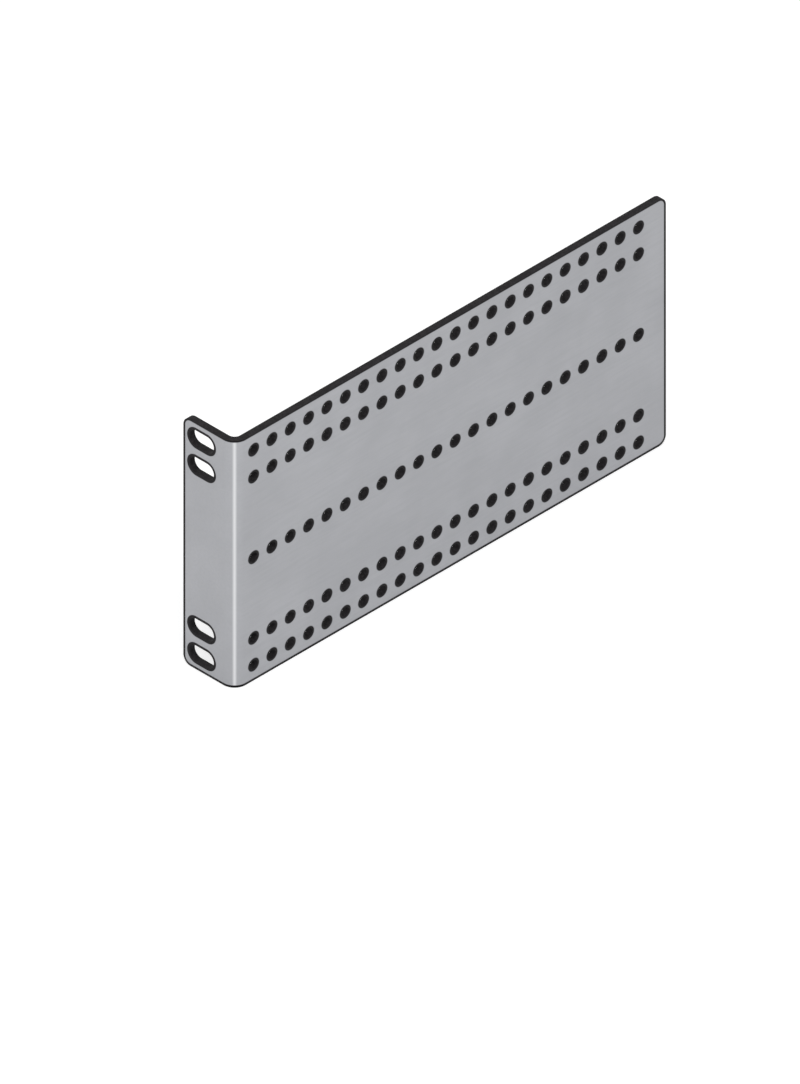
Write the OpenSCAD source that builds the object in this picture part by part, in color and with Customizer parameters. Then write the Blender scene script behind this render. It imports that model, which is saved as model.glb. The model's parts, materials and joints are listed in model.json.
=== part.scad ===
// Rack mount ear bracket: one sheet, folded once, with a slotted flange that bolts to the rack
// and a long perforated side panel that bolts to the chassis. All sizes are in millimetres.
// The origin is the middle of the slot pattern, on the face of the flange that meets the rack.
// X runs across the rack, Y back along the chassis, and Z up.

/* [Sheet] */
// Thickness of the sheet
sheet_t = 3; // [2:0.5:4]
// Inside radius of the fold
fold_r = 3; // [0.5:0.5:4]
// Radius of the four rounded corners
corner_r = 4; // [1:0.5:7]
// Sheet above and below the outermost slots and holes, from their centres
edge_margin = 7.5; // [6:0.5:30]

/* [Rack slots] */
// Distance between the two slots of a pair
pair_gap = 12.7; // [10:0.1:16]
// Distance between the middles of the two pairs, a whole number of rack units
pair_span = 88.9; // [44.45:44.45:266.7]
// Overall length of a slot
slot_l = 13.4; // [9:0.1:17]
// Width of a slot
slot_w = 7.4; // [5:0.1:9.6]
// From the free edge of the flange to the middle of the slots
slot_inset = 10; // [8:0.5:20]
// From the middle of the slots to the chassis face of the side panel
panel_offset = 18; // [15:0.5:40]

/* [Side panel holes] */
// Diameter of a hole
hole_d = 4.3; // [3.2:0.1:6.6]
// Number of hole columns
hole_columns = 22; // [2:1:40]
// Distance from one column to the next
hole_pitch = 10; // [8:0.5:20]
// From the front of the flange to the first column
first_column = 10.4; // [10:0.1:30]
// From the last column to the end of the panel
end_margin = 15; // [8:0.5:40]

/* [Hidden] */
$fn = 64;
sheet_h = pair_span + pair_gap + 2 * edge_margin;
flange_w = slot_inset + panel_offset;
panel_l = first_column + (hole_columns - 1) * hole_pitch + end_margin;
fold_outer_r = fold_r + sheet_t;
cut_past = 1; // how far each cut runs past both faces of the sheet
slot_heights = [for (pair = [-1, 1], slot = [-1, 1]) (pair * pair_span + slot * pair_gap) / 2];
row_heights = concat(slot_heights, 0); // a row level with each slot, and one at mid height

// A flat leaf that stands in XZ from its root at x = 0, with the two corners of its free edge rounded
module leaf(length) {
    translate([0, sheet_t, 0]) rotate([90, 0, 0]) linear_extrude(sheet_t) {
        translate([0, -sheet_h / 2]) square([length - corner_r, sheet_h]);
        translate([0, corner_r - sheet_h / 2]) square([length, sheet_h - 2 * corner_r]);
        for (side = [-1, 1])
            translate([length - corner_r, side * (sheet_h / 2 - corner_r)]) circle(corner_r);
    }
}

// The folded sheet before it is pierced, with the sharp outer corner of the fold at x = 0, y = 0
module folded_blank() {
    translate([-fold_outer_r, 0, 0]) mirror([1, 0, 0]) leaf(flange_w - fold_outer_r);
    translate([0, fold_outer_r, 0]) rotate([0, 0, 90]) leaf(panel_l - fold_outer_r);
    translate([-fold_outer_r, fold_outer_r, 0]) rotate([0, 0, -90]) rotate_extrude(angle = 90)
        translate([fold_r, -sheet_h / 2]) square([sheet_t, sheet_h]);
}

// The round-ended slots for the rack screws, which run across so that the ear can slide sideways
module rack_slots() {
    for (z = slot_heights)
        translate([-panel_offset, sheet_t + cut_past, z]) rotate([90, 0, 0])
            linear_extrude(sheet_t + 2 * cut_past) {
                square([slot_l - slot_w, slot_w], center = true);
                for (side = [-1, 1])
                    translate([side * (slot_l - slot_w) / 2, 0]) circle(d = slot_w);
            }
}

// The grid of clearance holes for the chassis screws
module panel_holes() {
    for (column = [0 : hole_columns - 1], z = row_heights)
        translate([-sheet_t - cut_past, first_column + column * hole_pitch, z])
            rotate([0, 90, 0]) cylinder(d = hole_d, h = sheet_t + 2 * cut_past);
}

module ear_bracket() {
    color("#a8a9ad") translate([panel_offset, -sheet_t, 0]) difference() {
        folded_blank();
        rack_slots();
        panel_holes();
    }
}

ear_bracket();
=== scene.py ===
import json
from math import cos, pi, radians, sin
import bpy
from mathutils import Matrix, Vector


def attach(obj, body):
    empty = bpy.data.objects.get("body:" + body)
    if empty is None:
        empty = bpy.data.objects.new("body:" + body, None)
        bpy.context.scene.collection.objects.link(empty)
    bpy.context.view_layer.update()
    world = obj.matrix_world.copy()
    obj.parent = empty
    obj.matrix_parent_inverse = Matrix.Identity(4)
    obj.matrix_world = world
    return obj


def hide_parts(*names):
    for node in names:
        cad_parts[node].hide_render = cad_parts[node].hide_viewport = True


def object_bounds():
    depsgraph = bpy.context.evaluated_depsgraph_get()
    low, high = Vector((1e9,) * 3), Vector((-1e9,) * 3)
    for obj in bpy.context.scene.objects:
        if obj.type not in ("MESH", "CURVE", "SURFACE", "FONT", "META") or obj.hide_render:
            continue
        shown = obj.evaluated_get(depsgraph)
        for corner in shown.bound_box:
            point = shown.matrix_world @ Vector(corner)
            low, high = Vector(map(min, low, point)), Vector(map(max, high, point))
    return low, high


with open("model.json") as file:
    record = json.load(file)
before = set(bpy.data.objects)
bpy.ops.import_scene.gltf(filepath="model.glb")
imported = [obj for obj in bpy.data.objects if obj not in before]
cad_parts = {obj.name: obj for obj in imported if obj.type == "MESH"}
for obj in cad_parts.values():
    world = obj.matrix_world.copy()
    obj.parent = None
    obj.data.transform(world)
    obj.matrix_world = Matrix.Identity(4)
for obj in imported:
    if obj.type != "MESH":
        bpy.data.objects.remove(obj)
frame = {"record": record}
cadLow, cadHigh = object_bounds()

# A rack ear folded from one zinc-coated steel sheet. Its cut edges are dark and bare.
mm = 0.001
sameWithin = 0.01 * mm  # two places this close count as one
weldWithin = 0.001 * mm
mounts = {mount["name"]: mount for mount in frame["record"]["mounts"]}
sheetFace, cutFace = 0, 1  # the two material slots of the bracket


def selectOnly(piece):
    bpy.ops.object.select_all(action="DESELECT")
    piece.select_set(True)
    bpy.context.view_layer.objects.active = piece


def selectInside(piece, kind, wanted):
    # opens the mesh with only the wanted vertices, edges or faces selected
    selectOnly(piece)
    bpy.ops.object.mode_set(mode="EDIT")
    bpy.ops.mesh.select_mode(type=kind)
    bpy.ops.mesh.select_all(action="DESELECT")
    bpy.ops.object.mode_set(mode="OBJECT")
    mesh = piece.data
    for part in {"VERT": mesh.vertices, "EDGE": mesh.edges, "FACE": mesh.polygons}[kind]:
        part.select = wanted(part)
    bpy.ops.object.mode_set(mode="EDIT")


def closeMesh():
    bpy.ops.object.mode_set(mode="OBJECT")


def shapeInPlace(piece, scale):
    # sizes a unit primitive and leaves its object at the origin
    selectOnly(piece)
    piece.scale = scale
    bpy.ops.object.transform_apply(location=True, rotation=True, scale=True)


def applyModifier(piece, kind, **settings):
    selectOnly(piece)
    modifier = piece.modifiers.new(kind, kind)
    for name, value in settings.items():
        setattr(modifier, name, value)
    bpy.ops.object.modifier_apply(modifier=modifier.name)


def meets(a, b):
    return abs(a - b) < sameWithin


# the folded sheet

sheet = {
    "foldInside": 3 * mm,  # the inside radius
    "foldSteps": 24,
    "cornerRadius": 4 * mm,
    "cornerSteps": 12,
}
sheetThickness = mounts["rack_face"]["pos_m"][1] - cadLow.y
foldOutside = sheet["foldInside"] + sheetThickness
foldAxis = Vector((cadHigh.x - foldOutside, cadLow.y + foldOutside, 0))


def foldBlank(materials):
    # the flange's front is spun round the fold and then drawn out along the panel
    flangeFlat = foldAxis.x - cadLow.x
    bpy.ops.mesh.primitive_plane_add(
        size=1, location=(cadLow.x + flangeFlat / 2, cadLow.y, 0), rotation=(pi / 2, 0, 0))
    bracket = bpy.context.object
    bracket.name = "foldedSheet"
    for material in materials:
        bracket.data.materials.append(material)
    shapeInPlace(bracket, (flangeFlat, cadHigh.z - cadLow.z, 1))

    def along(axis, place):
        corners = bracket.data.vertices
        return lambda edge: all(meets(corners[i].co[axis], place) for i in edge.vertices)

    selectInside(bracket, "EDGE", along(0, foldAxis.x))
    bpy.ops.mesh.spin(steps=sheet["foldSteps"], angle=-pi / 2, center=foldAxis, axis=(0, 0, 1))
    closeMesh()
    selectInside(bracket, "EDGE", along(0, cadHigh.x))
    bpy.ops.mesh.extrude_region_move(
        TRANSFORM_OT_translate={"value": (0, cadHigh.y - foldAxis.y, 0)})
    closeMesh()
    selectInside(bracket, "VERT", lambda corner: (
        meets(corner.co.x, cadLow.x) or meets(corner.co.y, cadHigh.y)))
    bpy.ops.mesh.bevel(
        offset=sheet["cornerRadius"], segments=sheet["cornerSteps"], affect="VERTICES")
    bpy.ops.mesh.select_all(action="SELECT")
    bpy.ops.mesh.remove_doubles(threshold=weldWithin)
    bpy.ops.mesh.normals_make_consistent(inside=False)
    closeMesh()
    flange = min(bracket.data.polygons, key=lambda face: face.center.x)
    if flange.normal.y > 0:
        selectInside(bracket, "FACE", lambda face: True)
        bpy.ops.mesh.flip_normals()
        closeMesh()
    applyModifier(
        bracket, "SOLIDIFY", thickness=sheetThickness, offset=-1, use_even_offset=True,
        material_offset_rim=cutFace)
    return bracket


# the holes and slots

piercing = {
    "pitch": 10 * mm,  # from one hole column to the next
    "holeSides": 44,
    "slotEndSteps": 16,
    "overrun": 1 * mm,
}


def patternHeights():
    # one row of holes level with each slot
    halves = [mounts[name]["dims"]["spacing_y_mm"] * mm / 2
              for name in ("outer_row_holes", "inner_row_holes")]
    return [side * half for half in halves for side in (-1, 1)]


def holePunches():
    outerRow = mounts["outer_row_holes"]
    rowLength = outerRow["dims"]["spacing_x_mm"] * mm
    firstHole = outerRow["pos_m"][1] - rowLength / 2
    punches = []
    for height in patternHeights() + [0]:
        bpy.ops.mesh.primitive_cylinder_add(
            vertices=piercing["holeSides"], radius=outerRow["dims"]["hole_r_mm"] * mm,
            depth=sheetThickness + 2 * piercing["overrun"],
            location=(cadHigh.x - sheetThickness / 2, firstHole, height), rotation=(0, pi / 2, 0))
        punch = bpy.context.object
        shapeInPlace(punch, (1, 1, 1))
        applyModifier(
            punch, "ARRAY", count=round(rowLength / piercing["pitch"]) + 1,
            use_relative_offset=False, use_constant_offset=True,
            constant_offset_displace=(0, piercing["pitch"], 0))
        punches.append(punch)
    return punches


def slotPunches():
    slotSize = mounts["rack_slots"]["dims"]
    slotWidth = 2 * slotSize["hole_r_mm"] * mm
    punches = []
    for height in patternHeights():
        bpy.ops.mesh.primitive_cube_add(
            size=1, location=(0, cadLow.y + sheetThickness / 2, height))
        punch = bpy.context.object
        shapeInPlace(punch, (
            slotSize["slot_length_mm"] * mm, sheetThickness + 2 * piercing["overrun"], slotWidth))
        corners = punch.data.vertices
        selectInside(punch, "EDGE", lambda edge: not meets(
            corners[edge.vertices[0]].co.y, corners[edge.vertices[1]].co.y))
        bpy.ops.mesh.bevel(offset=slotWidth / 2, segments=piercing["slotEndSteps"], affect="EDGES")
        bpy.ops.mesh.select_all(action="SELECT")
        bpy.ops.mesh.remove_doubles(threshold=weldWithin)
        closeMesh()
        punches.append(punch)
    return punches


def pierce(bracket):
    punches = holePunches() + slotPunches()
    bpy.ops.object.select_all(action="DESELECT")
    for punch in punches:
        punch.select_set(True)
    bpy.context.view_layer.objects.active = punches[0]
    bpy.ops.object.join()
    punch = punches[0]
    for material in bracket.data.materials:
        punch.data.materials.append(material)
    for face in punch.data.polygons:
        face.material_index = cutFace
    applyModifier(bracket, "BOOLEAN", object=punch, solver="EXACT", material_mode="INDEX")
    bpy.data.objects.remove(punch)


# the cut edges

edges = {
    "broken": 0.08 * mm,  # the burr is off the outline, but not off the slots and holes
    "brokenSteps": 2,
    "smoothBelow": 20,  # degrees
    "rimBand": 1.62 * mm,  # the sheet beside a cut that its dark can spread over
    "slotRim": 1.2 * mm,  # how wide the dark is beside a slot
    "holeRim": 0.88 * mm,
    "topRim": 0.78 * mm,
    "outlineRim": 1.1 * mm,
    "rimFade": (0.2, 0.35),  # nearness to a cut where the dark starts and is full
}


def besideSlot(place):
    slotSize = mounts["rack_slots"]["dims"]
    reach = 2 * edges["broken"]
    return abs(place.x) < slotSize["slot_length_mm"] * mm / 2 + reach and any(
        abs(place.z - height) < slotSize["hole_r_mm"] * mm + reach for height in patternHeights())


def besideHole(place):
    outerRow = mounts["outer_row_holes"]
    radius = outerRow["dims"]["hole_r_mm"] * mm + 2 * edges["broken"]
    alongRow = abs(place.y - outerRow["pos_m"][1]) - outerRow["dims"]["spacing_x_mm"] * mm / 2
    return place.x > foldAxis.x and alongRow < radius and any(
        abs(place.z - height) < radius for height in patternHeights() + [0])


def rimBeside(place):
    if besideSlot(place):
        return edges["slotRim"]
    if besideHole(place):
        return edges["holeRim"]
    # the outline's rim narrows round the upper corners to the one along the top
    topShare = min(max(1 - (cadHigh.z - place.z) / sheet["cornerRadius"], 0), 1)
    return edges["outlineRim"] + (edges["topRim"] - edges["outlineRim"]) * topShare


def breakEdges(bracket):
    # bevels where sheet and cut meet, and leaves the slots and holes sharp as punched
    mesh = bracket.data
    kinds = {}
    for face in mesh.polygons:
        for key in face.edge_keys:
            kinds.setdefault(key, set()).add(face.material_index)
    weights = mesh.attributes.new("bevel_weight_edge", "FLOAT", "EDGE")
    for edge in mesh.edges:
        place = mesh.vertices[edge.vertices[0]].co
        if len(kinds[edge.key]) == 2 and not besideSlot(place) and not besideHole(place):
            weights.data[edge.index].value = 1
    applyModifier(
        bracket, "BEVEL", width=edges["broken"], segments=edges["brokenSteps"],
        limit_method="WEIGHT", material=cutFace)


def darkenRims(bracket):
    # 0 where the band beside a cut begins, and at the cut high enough for the wanted width
    mesh = bracket.data
    cut = {i for face in mesh.polygons if face.material_index == cutFace for i in face.vertices}
    nearness = mesh.attributes.new("cutNearness", "FLOAT", "POINT")
    halfDark = sum(edges["rimFade"]) / 2
    for vertex in mesh.vertices:
        if vertex.index in cut:
            nearness.data[vertex.index].value = halfDark / (
                1 - rimBeside(vertex.co) / edges["rimBand"])


def finishEdges(bracket):
    selectInside(bracket, "FACE", lambda face: face.material_index == sheetFace)
    bpy.ops.mesh.inset(thickness=edges["rimBand"], use_even_offset=True)
    closeMesh()
    breakEdges(bracket)
    selectOnly(bracket)
    bpy.ops.object.shade_smooth_by_angle(angle=radians(edges["smoothBelow"]))
    darkenRims(bracket)


# the finishes

def newMaterial(name):
    material = bpy.data.materials.new(name)
    material.use_nodes = True
    return material, material.node_tree


def addNode(tree, kind, inputs=None, **settings):
    node = tree.nodes.new("ShaderNode" + kind)
    for name, value in settings.items():
        setattr(node, name, value)
    for name, value in (inputs or {}).items():
        if isinstance(value, bpy.types.NodeSocket):
            tree.links.new(value, node.inputs[name])
        else:
            node.inputs[name].default_value = value
    return node


def noise(tree, place, scale, detail, roughness=0.6):
    return addNode(tree, "TexNoise", {
        "Vector": place, "Scale": scale, "Detail": detail, "Roughness": roughness}).outputs["Fac"]


def stretched(tree, place, scale):
    return addNode(tree, "Mapping", {"Vector": place, "Scale": scale}).outputs["Vector"]


def ranged(tree, value, low, high, to=(0, 1), kind="SMOOTHSTEP"):
    return addNode(tree, "MapRange", {
        "Value": value, "From Min": low, "From Max": high, "To Min": to[0], "To Max": to[1]},
        interpolation_type=kind).outputs["Result"]


def blend(tree, share, first, second):
    # sockets 6 and 7 are the two colours, and output 2 is their mix
    mix = addNode(tree, "Mix", {"Factor": share, 6: first, 7: second}, data_type="RGBA")
    return mix.outputs[2]


def times(tree, first, second):
    node = addNode(tree, "Math", {0: first, 1: second}, operation="MULTIPLY")
    return node.outputs["Value"]


foldHighlight = {
    "colour": (0.69, 0.695, 0.71, 1),  # a painted highlight along the outside of the fold
    "halfWidth": 1.18 * mm,
    "depthFade": 0.1 * mm,
}


def foldHighlightMask(tree, place):
    # the painted highlight's mask: 1 on the line where the outside of the fold turns the corner, 0
    # away from it
    fromAxis = addNode(tree, "VectorMath", {0: place, 1: foldAxis}, operation="SUBTRACT").outputs[0]
    across = addNode(tree, "VectorMath", {0: fromAxis, 1: (cos(pi / 4), sin(pi / 4), 0)},
                     operation="DOT_PRODUCT").outputs["Value"]
    outward = addNode(tree, "VectorMath", {0: fromAxis, 1: (cos(pi / 4), -sin(pi / 4), 0)},
                      operation="DOT_PRODUCT").outputs["Value"]
    sideways = addNode(tree, "Math", {0: across}, operation="ABSOLUTE").outputs["Value"]
    onLine = ranged(tree, sideways, 0, foldHighlight["halfWidth"], (1, 0))
    middle = sheet["foldInside"] + sheetThickness / 2
    return times(tree, onLine, ranged(tree, outward, middle, middle + foldHighlight["depthFade"]))


zinc = {
    "colour": (0.392, 0.397, 0.418, 1),
    "light": (0.43, 0.436, 0.458, 1),
    "dark": (0.35, 0.355, 0.374, 1),
    "evenness": 0.6,  # how much of the plain colour lies over the clouds
    "cloudScale": 38,
    "cloudRange": (0.3, 0.7),
    "rollScale": (900, 60, 900),  # drawn out along the panel, as the mill's rolls leave it
    "rollRange": (0.35, 0.75),
    "rollShare": 0.22,
    "grainScale": 2600,
    "grainStrength": 0.12,
    "grainDepth": 0.02 * mm,
    "metalShare": 0.45,
    "roughFrom": (0.2, 0.8),  # the roll marks' range that gives the least and most roughness
    "roughness": (0.41, 0.52),
}


def zincSheet():
    material, tree = newMaterial("zincSheet")
    surface = tree.nodes["Principled BSDF"]
    place = addNode(tree, "TexCoord").outputs["Object"]
    clouds = noise(tree, place, zinc["cloudScale"], 4, 0.55)
    rolled = noise(tree, stretched(tree, place, zinc["rollScale"]), 1, 3)
    grain = noise(tree, place, zinc["grainScale"], 2)
    colour = blend(tree, ranged(tree, clouds, *zinc["cloudRange"]), zinc["dark"], zinc["light"])
    colour = blend(tree, zinc["evenness"], colour, zinc["colour"])
    streaks = ranged(tree, rolled, *zinc["rollRange"], (0, zinc["rollShare"]))
    colour = blend(tree, streaks, colour, zinc["dark"])
    # paints a highlight along the outside of the fold
    colour = blend(tree, foldHighlightMask(tree, place), colour, foldHighlight["colour"])
    nearness = addNode(tree, "Attribute", attribute_name="cutNearness").outputs["Fac"]
    rim = ranged(tree, nearness, *edges["rimFade"])
    colour = blend(tree, rim, colour, cutMetal["colour"])
    tree.links.new(colour, surface.inputs["Base Color"])
    rough = ranged(tree, rolled, *zinc["roughFrom"], zinc["roughness"])
    tree.links.new(rough, surface.inputs["Roughness"])
    metal = ranged(tree, rim, 0, 1, (zinc["metalShare"], 1), "LINEAR")
    tree.links.new(metal, surface.inputs["Metallic"])
    bump = addNode(tree, "Bump", {
        "Height": grain, "Strength": zinc["grainStrength"], "Distance": zinc["grainDepth"]})
    tree.links.new(bump.outputs["Normal"], surface.inputs["Normal"])
    return material


cutMetal = {
    "colour": (0.012, 0.011, 0.012, 1),
    "scorchLift": 2.2,  # how many times lighter the palest places are
    "scorchScale": 900,
    "scorchRange": (0.35, 0.7),
    "scorchStrength": 0.3,
    "scorchDepth": 0.05 * mm,
    "roughness": 0.65,
    "specular": 0.12,
}


def bareCut():
    material, tree = newMaterial("bareCut")
    surface = tree.nodes["Principled BSDF"]
    place = addNode(tree, "TexCoord").outputs["Object"]
    scorched = noise(tree, place, cutMetal["scorchScale"], 3)
    lighter = tuple(cutMetal["scorchLift"] * part for part in cutMetal["colour"][:3]) + (1,)
    share = ranged(tree, scorched, *cutMetal["scorchRange"])
    colour = blend(tree, share, cutMetal["colour"], lighter)
    tree.links.new(colour, surface.inputs["Base Color"])
    surface.inputs["Roughness"].default_value = cutMetal["roughness"]
    surface.inputs["Specular IOR Level"].default_value = cutMetal["specular"]
    bump = addNode(tree, "Bump", {
        "Height": scorched, "Strength": cutMetal["scorchStrength"],
        "Distance": cutMetal["scorchDepth"]})
    tree.links.new(bump.outputs["Normal"], surface.inputs["Normal"])
    return material


# the studio

studio = {
    "skyLevel": 0.665,  # what the open sky adds to the light on the bracket
    "keyPower": 9.1,
    "keySize": 1.1,
    "keyDistance": 1.6,
    "keyAzimuth": 45,
    "keyElevation": 45,
    "floorSize": 8,
    "floorTone": 0.75,
    "floorLift": 0.5,  # makes the floor show nearly white, with the bracket's shade left in
}
view = {
    "azimuth": 45,
    "elevation": 35.264,  # with azimuth 45, all three axes look equally long
    "frameHeight": 0.4182,
    "aimRight": -0.0095,  # from the middle of the bracket, in the picture's plane
    "aimUp": -0.04368,
    "distance": 1.5,
}


def towards(azimuth, elevation):
    # azimuth 0 looks along +Y, and 90 along -X
    flat = cos(radians(elevation))
    return Vector((
        flat * sin(radians(azimuth)), -flat * cos(radians(azimuth)), sin(radians(elevation))))


def seenRay(tree):
    # 1 for rays that show the background: straight to the camera, in metal or through glass
    path = addNode(tree, "LightPath")
    seen = path.outputs["Is Camera Ray"]
    for kind in ("Is Glossy Ray", "Is Transmission Ray"):
        either = addNode(tree, "Math", {0: seen, 1: path.outputs[kind]}, operation="MAXIMUM")
        seen = either.outputs[0]
    return seen


def paintWorld():
    world = bpy.data.worlds.new("paleStudio")
    bpy.context.scene.world = world
    world.use_nodes = True
    tree = world.node_tree
    sky = tree.nodes["Background"]
    sky.inputs["Color"].default_value = (1, 1, 1, 1)
    strength = ranged(tree, seenRay(tree), 0, 1, (studio["skyLevel"], 1), "LINEAR")  # 1 is white
    tree.links.new(strength, sky.inputs["Strength"])


def layFloor():
    bpy.ops.mesh.primitive_plane_add(size=studio["floorSize"], location=(0, 0, cadLow.z))
    floor = bpy.context.object
    floor.name = "floor"
    shapeInPlace(floor, (1, 1, 1))
    material, tree = newMaterial("paleFloor")
    tree.nodes.remove(tree.nodes["Principled BSDF"])
    tone = (studio["floorTone"],) * 3 + (1,)
    matt = addNode(tree, "BsdfDiffuse", {"Color": tone}).outputs[0]
    lift = addNode(tree, "Emission", {"Strength": studio["floorLift"]}).outputs[0]
    lifted = addNode(tree, "AddShader", {0: matt, 1: lift}).outputs[0]
    # only seen rays find the lift, so the bracket gets no more light from the floor
    shown = addNode(tree, "MixShader", {0: seenRay(tree), 1: matt, 2: lifted}).outputs[0]
    tree.links.new(shown, tree.nodes["Material Output"].inputs["Surface"])
    floor.data.materials.append(material)


def hangLamp():
    aim = (cadLow + cadHigh) / 2
    direction = towards(studio["keyAzimuth"], studio["keyElevation"])
    bpy.ops.object.light_add(type="AREA", location=aim + direction * studio["keyDistance"])
    lamp = bpy.context.object
    lamp.name = "keyLamp"
    lamp.rotation_euler = direction.to_track_quat("Z", "Y").to_euler()
    lamp.data.shape = "DISK"
    lamp.data.size = studio["keySize"]
    lamp.data.energy = studio["keyPower"]


def setCamera():
    outward = towards(view["azimuth"], view["elevation"])
    turn = outward.to_track_quat("Z", "Y")
    aim = (cadLow + cadHigh) / 2 + turn @ Vector((view["aimRight"], view["aimUp"], 0))
    bpy.ops.object.camera_add(location=aim + outward * view["distance"], rotation=turn.to_euler())
    camera = bpy.context.object
    camera.data.type = "ORTHO"
    camera.data.ortho_scale = view["frameHeight"]
    bpy.context.scene.camera = camera


bpy.ops.object.select_all(action="DESELECT")
bracket = foldBlank([zincSheet(), bareCut()])
print("blank folded")
pierce(bracket)
print("holes and slots pierced")
finishEdges(bracket)
print("edges finished:", len(bracket.data.polygons), "faces")
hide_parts("ear_bracket")
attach(bracket, "root")

paintWorld()
layFloor()
hangLamp()
setCamera()
bpy.context.scene.view_settings.view_transform = "Standard"
print("studio set")
